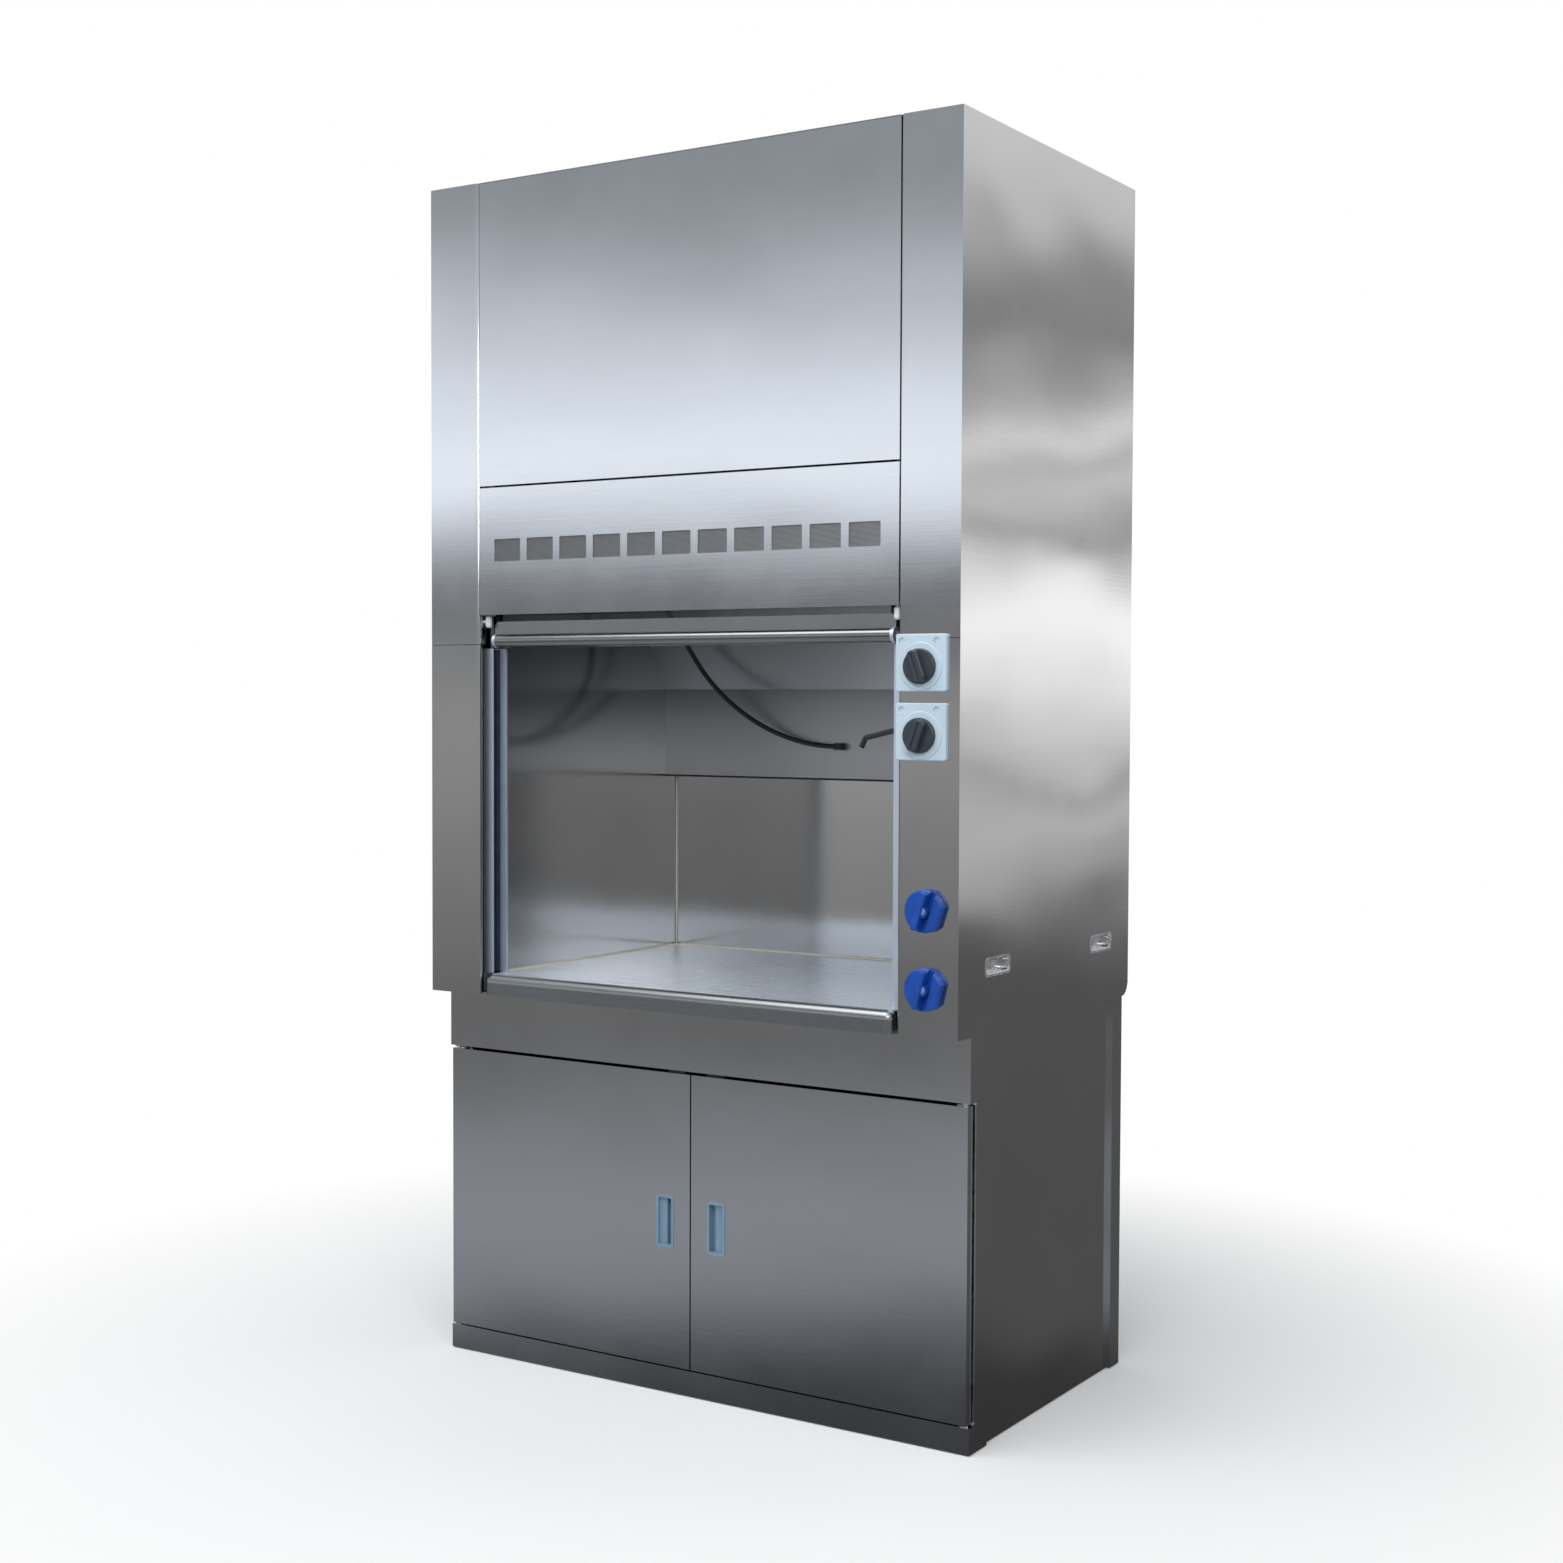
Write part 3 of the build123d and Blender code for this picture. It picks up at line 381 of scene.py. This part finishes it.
def track_shade_brushes():
    """Dark brush seals with a rippled front, standing in the sash tracks' grooves as painted shade: the dark
    of the grooves is put there as navy strips.
    """
    low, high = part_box("right_track")
    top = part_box("sash_pull_tube")[0].z - 0.003
    root = high.y - 0.0013
    tip = high.y - 0.0035
    for side, sign in (("left", -1), ("right", 1)):
        x0, x1 = sorted(sign * x for x in (low.x + 0.0165, high.x - 0.002))
        shape = bmesh.new()
        bmesh.ops.create_cube(shape, size=1.0)
        for vertex in shape.verts:
            vertex.co = Vector((x1 if vertex.co.x > 0 else x0, root if vertex.co.y > 0 else tip,
                                top if vertex.co.z > 0 else WORKTOP_TOP))
        upright = [edge for edge in shape.edges if abs(edge.verts[0].co.z - edge.verts[1].co.z) > 0.1]
        bmesh.ops.subdivide_edges(shape, edges=upright, cuts=160)
        for vertex in shape.verts:
            if vertex.co.y < (root + tip) / 2:
                vertex.co.y += 0.0006 * math.sin(vertex.co.z * 1900.0)
        # Painted shade: the navy strip stands where the groove is only in shade.
        from_bmesh(f"{side}_track_shade_brush", shape, NAVY_SHADE_PILE, "hood")


def screw_heads(name, places, axis):
    """Zinc pan-head screws with a washer, one mesh for the whole set."""
    shape = bmesh.new()
    radius = 0.0048
    washer = radius * 1.7
    profile = [(-0.0002, washer), (0.0008, washer), (0.0009, radius), (0.0018, radius * 0.96),
               (0.0028, radius * 0.72), (0.0031, radius * 0.45), (0.0016, radius * 0.40)]
    for place in places:
        lathe(shape, profile, place, axis, 20)
    from_bmesh(name, shape, BRIGHT_ZINC, "hood")


def frame_places(low, high, inset, count_across, count_up):
    """Evenly spaced (u, v) places round the inside of a rectangle."""
    (u0, v0), (u1, v1) = (low[0] + inset, low[1] + inset), (high[0] - inset, high[1] - inset)
    places = []
    for step in range(count_across + 1):
        u = u0 + (u1 - u0) * step / count_across
        places += [(u, v0), (u, v1)]
    for step in range(1, count_up):
        v = v0 + (v1 - v0) * step / count_up
        places += [(u0, v), (u1, v)]
    return places


def panel_screws():
    """Screws round the two back panels, the roof and the duct's flange."""
    backward = (0, 1, 0)
    upward = (0, 0, 1)
    inset = 0.014
    low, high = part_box("hood_back_panel")
    places = frame_places((low.x, low.z + 0.02), (high.x, high.z), inset, 5, 7)
    screw_heads("back_panel_screws", [(x, high.y, z) for x, z in places], backward)
    low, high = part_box("base_back_panel")
    places = frame_places((low.x, low.z + 0.03), (high.x, high.z - 0.02), inset, 4, 3)
    screw_heads("base_back_screws", [(x, high.y, z) for x, z in places], backward)
    low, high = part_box("roof_panel")
    places = frame_places((low.x, low.y), (high.x, high.y), inset, 5, 3)
    screw_heads("roof_screws", [(x, y, high.z) for x, y in places], upward)
    duct_low, duct_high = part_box("exhaust_duct")
    middle = (duct_low + duct_high) / 2
    flange_top = high.z + 0.002
    ring_radius = 0.147
    angles = [math.tau * step / 12 for step in range(12)]
    ring = [(middle.x + ring_radius * math.cos(angle), middle.y + ring_radius * math.sin(angle), flange_top)
            for angle in angles]
    screw_heads("duct_flange_screws", ring, upward)


def spigot_beads():
    """Rolled stiffening beads round the exhaust spigot, each half a circle in section."""
    low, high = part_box("exhaust_duct")
    middle = (low + high) / 2
    spigot_radius = 0.1245
    bead_radius = 0.003
    angles = [math.pi * step / 8 - math.pi / 2 for step in range(9)]
    profile = [(math.sin(angle) * bead_radius, spigot_radius + math.cos(angle) * bead_radius)
               for angle in angles]
    shape = bmesh.new()
    for z in (high.z - 0.008, high.z - 0.030):
        lathe(shape, profile, (middle.x, middle.y, z), (0, 0, 1), 96)
    bmesh.ops.delete(shape, geom=[face for face in shape.faces if len(face.verts) > 4], context="FACES_ONLY")
    from_bmesh("spigot_beads", shape, SHELL_STEEL, "hood")


def valve_caps():
    """The pale index cap on each valve knob's hub."""
    for level in ("upper", "lower"):
        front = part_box(f"{level}_valve_knob")[0].y
        pivot = Vector(JOINTS[f"{level}_valve_turn"]["pos_m"])
        hub_face = front + 0.006
        profile = [(-0.004, 0.0070), (0.0002, 0.0070), (0.0009, 0.0064), (0.0014, 0.0048), (0.0016, 0.0020)]
        shape = bmesh.new()
        lathe(shape, profile, (pivot.x + 0.0025, hub_face, pivot.z + 0.001), (0, -1, 0), 32)
        from_bmesh(f"{level}_valve_cap", shape, PALE_CAP, f"{level}_valve_knob")


def lamp_tubes():
    """Two fluorescent tubes with metal end caps, above the lens."""
    low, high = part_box("lamp_lens")
    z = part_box("lamp_housing")[0].z + 0.030
    along = (1, 0, 0)
    end_gap = 0.015
    span = high.x - low.x - 2 * end_gap
    tube = [(0.0, 0.0110), (0.004, 0.0130), (span - 0.004, 0.0130), (span, 0.0110)]
    cap = [(0.0, 0.0125), (0.001, 0.0136), (0.023, 0.0136), (0.024, 0.0130)]
    glass = bmesh.new()
    caps = bmesh.new()
    for share in (0.3, 0.7):
        y = low.y + (high.y - low.y) * share
        lathe(glass, tube, (low.x + end_gap, y, z), along, 24)
        for start in (low.x + 0.010, high.x - 0.034):
            lathe(caps, cap, (start, y, z), along, 24)
    from_bmesh("lamp_tubes", glass, TUBE_GLASS, "hood")
    from_bmesh("lamp_tube_caps", caps, BRIGHT_ZINC, "hood")


def soften_edges():
    """A small bevel on the folded and cut edges of the sheet-metal nodes, so that they catch light."""
    names = ("apron_panel left_door_pan right_door_pan left_side_panel right_side_panel base_left_side "
             "base_right_side fascia_panel upper_front_panel right_track left_track sash_bottom_rail "
             "base_floor lower_baffle upper_baffle").split()
    for name in names:
        bevel = frame["nodes"][name].modifiers.new("edge_bevel", "BEVEL")
        bevel.width = 0.0005
        bevel.segments = 2
        bevel.limit_method = "ANGLE"
        bevel.angle_limit = math.radians(40)


# ---------------------------------------------------------------- stage, light and camera
BAND_REACH = math.sin(math.radians(20))

# Elevation in degrees, then brightness, for what the front and the sides reflect.
FRONT_BANDS = [
    (-20, 0.05), (-17.0, 0.06), (-16.1, 0.16), (-15.4, 0.38), (-13.5, 0.42), (-11.5, 0.34), (-10, 0.22),
    (-8.4, 0.17), (-6.5, 0.24), (-4.0, 0.31), (-1.5, 0.40), (0.9, 0.40), (1.6, 0.16), (2.9, 0.16),
    (3.5, 0.26), (4.3, 0.75), (5.1, 1.40), (5.9, 1.60), (7.2, 1.32), (8.5, 1.15), (10, 0.88),
    (11.5, 0.62), (13, 0.40), (15, 0.42), (20, 0.40),
]
SIDE_BANDS = [
    (-20, 0.05), (-17.5, 0.05), (-15.5, 0.11), (-9, 0.12), (-7, 0.12), (-5.8, 0.18), (-4.7, 0.45),
    (-3, 0.72), (-1.85, 0.50), (-1.0, 0.80), (0.2, 1.15), (2.5, 1.50), (3.5, 1.25), (4.3, 0.40),
    (5.0, 0.72), (5.6, 0.90), (6.1, 0.55), (6.8, 1.25), (7.6, 0.55), (8.7, 0.32), (9.9, 0.35),
    (11.2, 0.48), (12.8, 0.80), (15, 0.90), (20, 0.70),
]
OVERHEAD = (0.50, 0.52, 0.54, 1.0)
UNDERFOOT = (0.42, 0.43, 0.44, 1.0)
PLAIN_WHITE = (1.0, 1.0, 1.0, 1.0)


def ramp_place(elevation):
    """A band's place on the ramp, from its elevation in degrees above the horizon."""
    return 0.5 + 0.5 * math.sin(math.radians(elevation)) / BAND_REACH


def cooled(value, elevation):
    """The light is a little blue, except near and just below the horizon, where it is neutral."""
    share = min(max((elevation - 1.0) / 2.0, (-9.0 - elevation) / 3.0, 0.0), 1.0)
    return (value * (1 - 0.07 * share), value, value * (1 + 0.10 * share))


def band_level(nodes, direction, height, scale, wander):
    """Height above the horizon on a scale from 0 to 1, wandering a little so that no band is dead level."""
    stretch = nodes.add("ShaderNodeMapping", {"Vector": direction, "Scale": scale}).outputs["Vector"]
    drift = nodes.math("SUBTRACT", nodes.noise(stretch, 1.0, 1.5, 0.5), 0.5)
    wavy = nodes.math("ADD", height, nodes.math("MULTIPLY", drift, wander))
    return nodes.ranged(wavy, -BAND_REACH, BAND_REACH)


def studio_world():
    """Surroundings of soft level bands that the steel mirrors. The camera itself sees plain white."""
    world = bpy.data.worlds.new("studio")
    bpy.context.scene.world = world
    world.use_nodes = True
    nodes = Nodes(world.node_tree)
    direction = nodes.add("ShaderNodeTexCoord").outputs["Generated"]
    axes = nodes.separated(direction)
    front_bands = nodes.ramp(band_level(nodes, direction, axes["Z"], (2.2, 2.2, 5.0), 0.016),
                             [(ramp_place(el), cooled(value, el)) for el, value in FRONT_BANDS])
    side_bands = nodes.ramp(band_level(nodes, direction, axes["Z"], (6.0, 6.0, 20.0), 0.055),
                            [(ramp_place(el), (value, value, value)) for el, value in SIDE_BANDS])
    bands = nodes.mix(nodes.ranged(axes["Y"], -0.15, 0.35), front_bands, side_bands)
    bands = nodes.mix(nodes.ranged(axes["Z"], BAND_REACH, 0.9), bands, OVERHEAD)
    bands = nodes.mix(nodes.ranged(axes["Z"], -BAND_REACH, -0.48), bands, UNDERFOOT)
    seen = nodes.add("ShaderNodeLightPath").outputs["Is Camera Ray"]
    colour = nodes.mix(seen, bands, PLAIN_WHITE)
    light = nodes.add("ShaderNodeBackground", {"Color": colour, "Strength": 1.0})
    nodes.add("ShaderNodeOutputWorld", {"Surface": light.outputs["Background"]})


def studio_floor():
    """A pale floor that fades into the white surroundings and isn't mirrored in the steel."""
    fade_from = 0.75
    fade_to = 2.0
    shape = bmesh.new()
    bmesh.ops.create_circle(shape, cap_ends=True, radius=5.0, segments=96)
    mesh = bpy.data.meshes.new("studio_floor")
    shape.to_mesh(mesh)
    shape.free()
    floor = bpy.data.objects.new("studio_floor", mesh)
    bpy.context.scene.collection.objects.link(floor)
    floor.visible_glossy = False
    material, nodes = new_material("pale_floor")
    centred = nodes.add("ShaderNodeTexCoord").outputs["Object"]
    distance = nodes.add("ShaderNodeVectorMath", {0: centred}, operation="LENGTH").outputs["Value"]
    fade = nodes.ranged(distance, fade_from, fade_to, 1.0, 0.0)
    drift = nodes.noise(nodes.stretched((1.0, 1.0, 1.0)), 0.8, 2.0)
    finish_material(material, nodes, Base_Color=nodes.ramp(drift, [(0.3, 0.90), (0.7, 0.92)]), Roughness=0.8,
                    Alpha=fade)
    mesh.materials.append(material)


def area_light(name, place, target, size, power):
    """A rectangular white light at a place, aimed at a target."""
    data = bpy.data.lights.new(name, "AREA")
    data.shape = "RECTANGLE"
    data.size, data.size_y = size
    data.energy = power
    light = bpy.data.objects.new(name, data)
    bpy.context.scene.collection.objects.link(light)
    light.location = place
    light.rotation_mode = "QUATERNION"
    light.rotation_quaternion = (Vector(target) - Vector(place)).to_track_quat("-Z", "Y")


def photo_camera():
    """A 50 mm view from the right of the hood, a little above half its height, looking slightly down."""
    data = bpy.data.cameras.new("camera")
    data.sensor_width = 36.0
    data.lens = 49.8
    camera = bpy.data.objects.new("camera", data)
    bpy.context.scene.collection.objects.link(camera)
    turn, pitch, roll = (math.radians(angle) for angle in (32.5, -2.09, 0.22))
    aim = Vector((-math.sin(turn) * math.cos(pitch), math.cos(turn) * math.cos(pitch), math.sin(pitch)))
    camera.location = (2.3407, FRONT - 3.3025, 1.3297)
    camera.rotation_mode = "QUATERNION"
    camera.rotation_quaternion = aim.to_track_quat("-Z", "Y") @ Matrix.Rotation(roll, 3, "Z").to_quaternion()
    bpy.context.scene.camera = camera


# ---------------------------------------------------------------- build
SHELL_STEEL = brushed_steel("shell_steel", grain="X", roughness=0.11)
SIDE_STEEL = brushed_steel("side_steel", grain="Y", roughness=0.09, waves=0.008, wave_scale=1.6)
# The liner and baffle steels darken to brown towards their tops: painted shade.
LINER_STEEL = brushed_steel("liner_steel", grain="X", light=0.56, dark=0.50, roughness=0.13, top_shade=0.65)
BAFFLE_STEEL = brushed_steel("baffle_steel", grain="Z", light=0.56, dark=0.48, roughness=0.38, top_shade=0.6)
REAR_STEEL = brushed_steel("rear_steel", grain="X", light=0.72, dark=0.66, roughness=0.12)
WORKTOP_STEEL = worktop_steel("worktop_steel")
# Painted shade: the sash rail and pull tube get steel dimmed to about half the shell's tone, standing in for
# the shade under the fascia.
SHADED_SASH_STEEL = brushed_steel("shaded_sash_steel", grain="X", light=0.34, dark=0.28, roughness=0.24)
ANODISED = aluminium("anodised_aluminium", (0.80, 0.87, 0.97), 0.48)
DARK_ANODISED = aluminium("dark_anodised", (0.035, 0.037, 0.042), 0.5)
ZINC_SHEET = galvanised("zinc_sheet")
GLASS = clear_glass("sash_glass")
LENS = clear_glass("lamp_lens", (0.95, 0.95, 0.92), 0.25)
TUBE_GLASS = moulded("tube_glass", (0.82, 0.82, 0.80), 0.2, 0.03)
WHITE_NYLON = moulded("white_nylon", (0.80, 0.81, 0.80), 0.38, 0.05)
BLACK_RUBBER = moulded("black_rubber", (0.022, 0.022, 0.024), 0.5, 0.3)
BLACK_EPOXY = moulded("black_epoxy", (0.025, 0.025, 0.028), 0.36, 0.25, 900.0)
PALE_PLASTIC = moulded("pale_plastic", (0.55, 0.67, 0.76), 0.34, 0.05)
PALE_CAP = moulded("pale_cap", (0.20, 0.28, 0.45), 0.3, 0.08)
SLATE_PLASTIC = moulded("slate_plastic", (0.032, 0.043, 0.055), 0.34, 0.25)
BLUE_PLASTIC = moulded("blue_plastic", (0.004, 0.070, 0.40), 0.42, 0.3)
PALE_SEALANT = moulded("pale_sealant", (0.86, 0.82, 0.72), 0.35, 0.06)
# Navy pile for the strips that stand in for the shade in the track grooves: painted shade.
NAVY_SHADE_PILE = moulded("navy_shade_pile", (0.020, 0.030, 0.065), 0.8, 0.4, 2500.0)
PULL_PLASTIC = moulded("pull_plastic", (0.20, 0.31, 0.41), 0.42, 0.1)
TURNED_BRASS = metal_hardware("turned_brass", (0.72, 0.52, 0.22))
CAST_IRON = metal_hardware("cast_iron", (0.10, 0.10, 0.11), 0.5)
BRIGHT_ZINC = metal_hardware("bright_zinc", (0.75, 0.76, 0.78), 0.18)
VENT_SHEET = vent_sheet("vent_sheet")

paint_frame([
    ("left_post_upper_cover right_post_upper_cover left_post_lower_cover right_post_lower_cover "
     "upper_front_panel fascia_panel apron_panel base_floor left_door_pan right_door_pan exhaust_duct "
     "roof_panel hood_back_panel base_back_panel", SHELL_STEEL),
    ("left_side_panel right_side_panel base_left_side base_right_side", SIDE_STEEL),
    ("left_liner right_liner chamber_ceiling", LINER_STEEL),
    ("upper_baffle", BAFFLE_STEEL),
    ("lower_baffle", REAR_STEEL),
    ("worktop", WORKTOP_STEEL),
    ("sash_bottom_rail sash_pull_tube", SHADED_SASH_STEEL),
    ("left_track right_track sash_pull_caps", ANODISED),
    ("sash_frame", DARK_ANODISED),
    ("lamp_housing bearing_brackets sync_shaft left_idler right_idler left_door_liner right_door_liner",
     ZINC_SHEET),
    ("vent_mesh", VENT_SHEET),
    ("sash_glass", GLASS),
    ("lamp_lens", LENS),
    ("sash_guides sash_bumpers", WHITE_NYLON),
    ("cable_glands sash_belts levelling_feet", BLACK_RUBBER),
    ("service_outlets", BLACK_EPOXY),
    ("switch_boxes", PALE_PLASTIC),
    ("upper_switch_knob lower_switch_knob magnetic_catches", SLATE_PLASTIC),
    ("upper_valve_knob lower_valve_knob", BLUE_PLASTIC),
    ("left_door_pull right_door_pull", PULL_PLASTIC),
    ("valve_bodies", TURNED_BRASS),
    ("left_counterweight right_counterweight", CAST_IRON),
    ("side_grip_cups door_pivot_pins", BRIGHT_ZINC),
])

photo_camera()
lamp_cord()
chamber_seals()
track_shade_brushes()
panel_screws()
spigot_beads()
valve_caps()
lamp_tubes()
soften_edges()
studio_world()
studio_floor()
area_light("overhead_softbox", (-0.6, -2.2, 4.6), (0.0, 0.0, 0.6), (4.0, 3.0), 110.0)
area_light("chamber_fill", (1.5, -1.8, 2.1), (-0.1, 0.1, 0.8), (0.9, 0.7), 13.0)
bpy.context.scene.view_settings.view_transform = "Standard"
